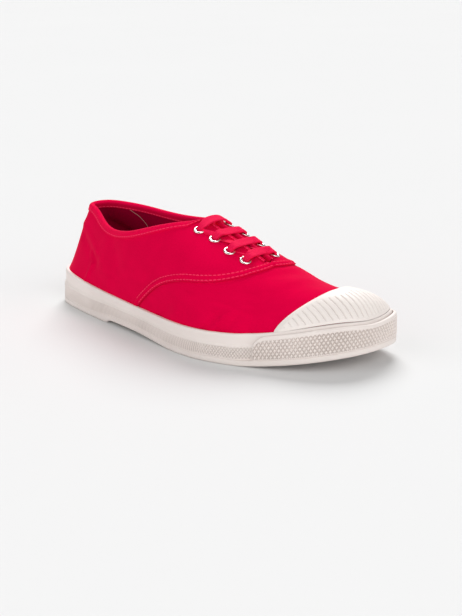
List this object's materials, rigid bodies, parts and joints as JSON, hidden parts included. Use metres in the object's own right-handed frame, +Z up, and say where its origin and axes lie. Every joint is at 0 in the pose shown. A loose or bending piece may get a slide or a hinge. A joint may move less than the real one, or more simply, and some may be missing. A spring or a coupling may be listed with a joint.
{
  "type": "canvas sneaker",
  "caption": "Low canvas lace-up tennis shoe for the right foot with a rubber sole wall, a ribbed rubber toe cap and a textured toe strip.",
  "frame": {"origin": "middle of the sole's box on the floor", "axes": "+X from heel to toe, +Y to the wearer's left, which is the inner side of this right shoe, +Z up"},
  "size_m": [0.262, 0.0963, 0.076],
  "materials": {
    "sole_rubber": "matt off-white moulded rubber",
    "cap_rubber": "satin off-white moulded rubber with fine ribs",
    "canvas": "plain woven red cotton canvas",
    "lining": "plain red cotton lining",
    "lace_cotton": "flat woven red cotton lace",
    "eyelet_metal": "bright nickel plated"
  },
  "bodies": {
    "root": {"outsole": "sole_rubber", "foxing": "sole_rubber", "toe_bumper": "sole_rubber", "toe_cap": "cap_rubber", "upper": "canvas", "tongue": "canvas", "insole": "lining", "eyelet_lateral_1": "eyelet_metal", "eyelet_medial_1": "eyelet_metal", "eyelet_lateral_2": "eyelet_metal", "eyelet_medial_2": "eyelet_metal", "eyelet_lateral_3": "eyelet_metal", "eyelet_medial_3": "eyelet_metal", "eyelet_lateral_4": "eyelet_metal", "eyelet_medial_4": "eyelet_metal", "lace_bar_1": "lace_cotton", "lace_bar_2": "lace_cotton", "lace_bar_3": "lace_cotton", "lace_bar_4": "lace_cotton"}
  },
  "joints": []
}
